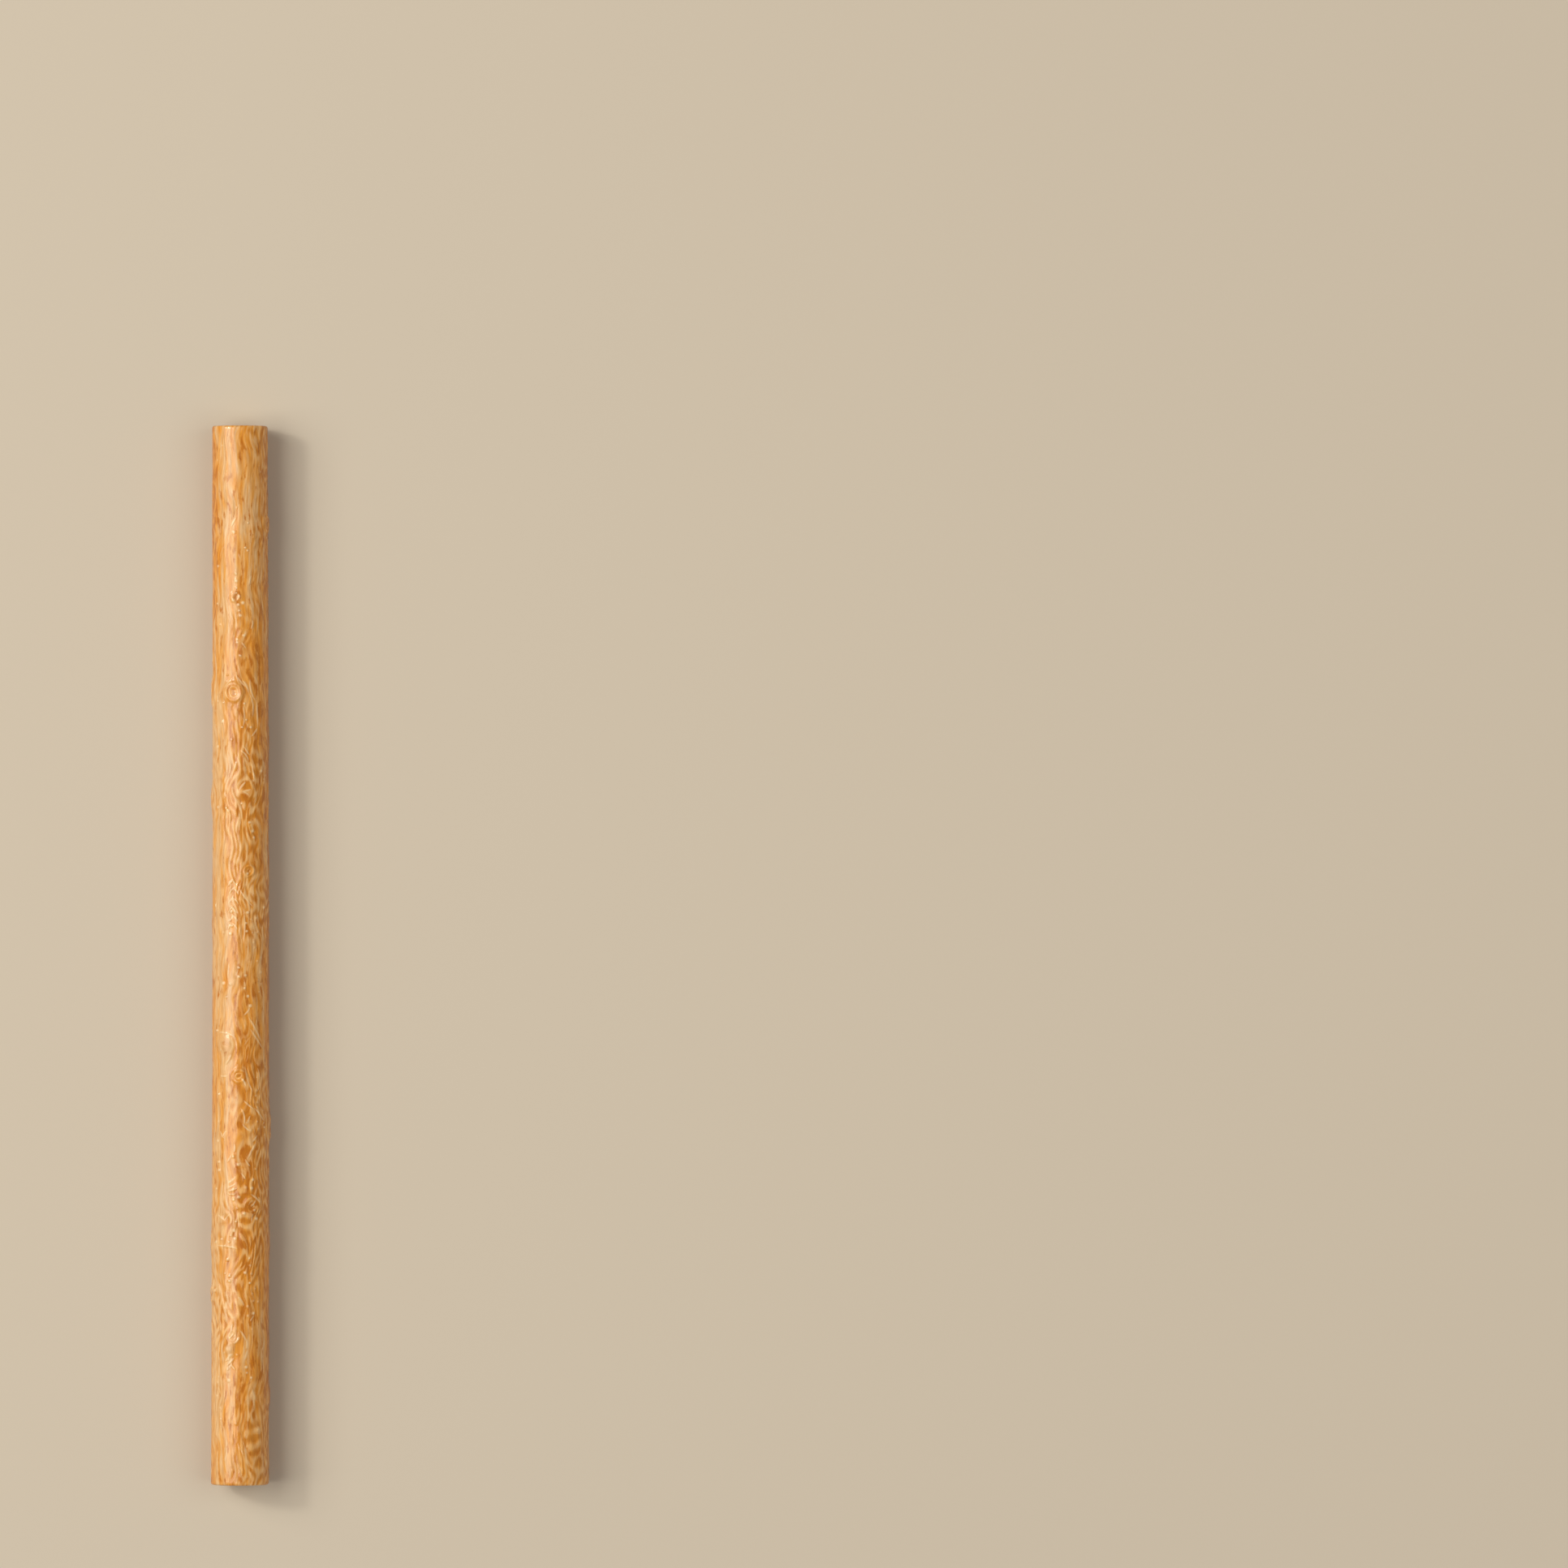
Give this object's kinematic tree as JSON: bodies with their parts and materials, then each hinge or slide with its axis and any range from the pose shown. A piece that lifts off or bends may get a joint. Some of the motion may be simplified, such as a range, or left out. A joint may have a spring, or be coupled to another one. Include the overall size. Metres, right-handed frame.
{
  "type": "miswak stick",
  "caption": "Straight round length of root in its ridged and knotted skin, cut square at both ends, a chewing stick for cleaning teeth. It lies on its side on low knots.",
  "frame": {"origin": "bottom centre of the bounding box, on the surface that the stick lies on", "axes": "+Y along the stick towards its thinner end, +Z up from the surface it lies on, +X to the right when seen from above with +Y up"},
  "size_m": [0.0086, 0.15, 0.0084],
  "materials": {
    "bark": "warm orange-tan skin with pale ridge tops, amber valleys and a waxy shine; pale fibrous wood at the cut ends"
  },
  "bodies": {
    "root": {"miswak_stick": "bark"}
  },
  "joints": []
}
